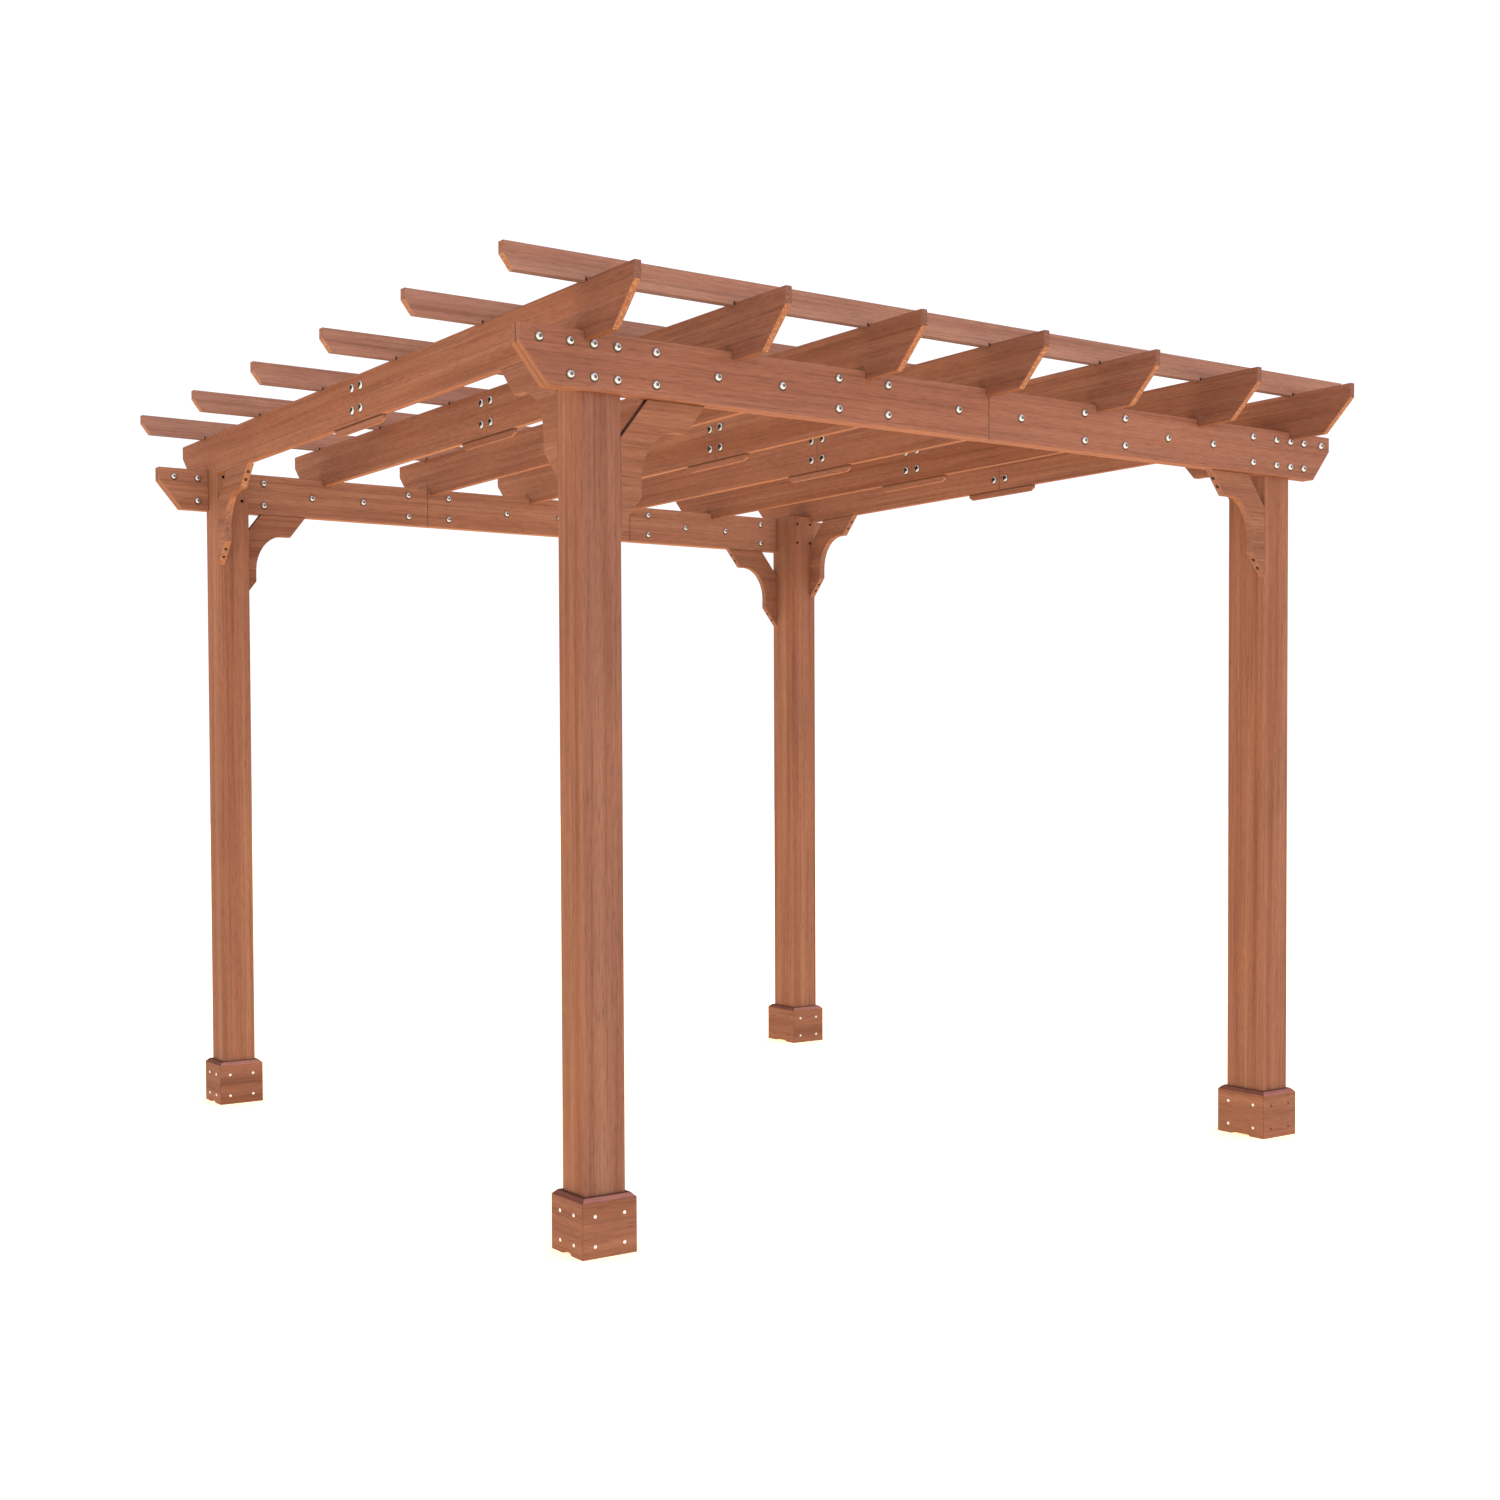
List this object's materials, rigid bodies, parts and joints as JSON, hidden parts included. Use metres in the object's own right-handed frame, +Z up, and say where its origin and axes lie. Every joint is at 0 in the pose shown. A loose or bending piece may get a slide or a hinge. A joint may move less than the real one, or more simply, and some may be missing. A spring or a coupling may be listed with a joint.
{
  "type": "wooden pergola",
  "caption": "Open garden pergola of stained softwood: corner posts with skirting, paired-board beams, notched rafters with splice plates, purlins across the top and curved corner braces.",
  "frame": {"origin": "on the ground under the middle of the roof, at the bottom centre of the bounding box", "axes": "+X along the beams to the right, +Y along the rafters to the rear, +Z up"},
  "size_m": [2.997, 3.146, 2.395],
  "materials": {
    "post_timber": "stained and sealed",
    "skirting_timber": "stained and sealed",
    "brace_timber": "stained and sealed",
    "beam_timber": "stained and sealed",
    "rafter_timber": "stained and sealed",
    "purlin_timber": "stained and sealed",
    "fixings": "zinc plated"
  },
  "bodies": {
    "root": {"post_front_left": "post_timber", "skirting_front_left": "skirting_timber", "beam_brace_front_left": "brace_timber", "rafter_brace_front_left": "brace_timber", "beam_face_front_left": "beam_timber", "post_front_right": "post_timber", "skirting_front_right": "skirting_timber", "beam_brace_front_right": "brace_timber", "rafter_brace_front_right": "brace_timber", "beam_face_front_right": "beam_timber", "post_rear_left": "post_timber", "skirting_rear_left": "skirting_timber", "beam_brace_rear_left": "brace_timber", "rafter_brace_rear_left": "brace_timber", "beam_face_rear_left": "beam_timber", "post_rear_right": "post_timber", "skirting_rear_right": "skirting_timber", "beam_brace_rear_right": "brace_timber", "rafter_brace_rear_right": "brace_timber", "beam_face_rear_right": "beam_timber", "beam_lining_front": "beam_timber", "beam_lining_rear": "beam_timber", "rafter_1": "rafter_timber", "splice_plate_1": "rafter_timber", "rafter_2": "rafter_timber", "splice_plate_2": "rafter_timber", "rafter_3": "rafter_timber", "splice_plate_3": "rafter_timber", "rafter_4": "rafter_timber", "splice_plate_4": "rafter_timber", "rafter_5": "rafter_timber", "splice_plate_5": "rafter_timber", "rafter_6": "rafter_timber", "splice_plate_6": "rafter_timber", "rafter_7": "rafter_timber", "splice_plate_7": "rafter_timber", "purlin_1": "purlin_timber", "purlin_2": "purlin_timber", "purlin_3": "purlin_timber", "purlin_4": "purlin_timber", "purlin_5": "purlin_timber", "purlin_6": "purlin_timber"}
  },
  "joints": []
}
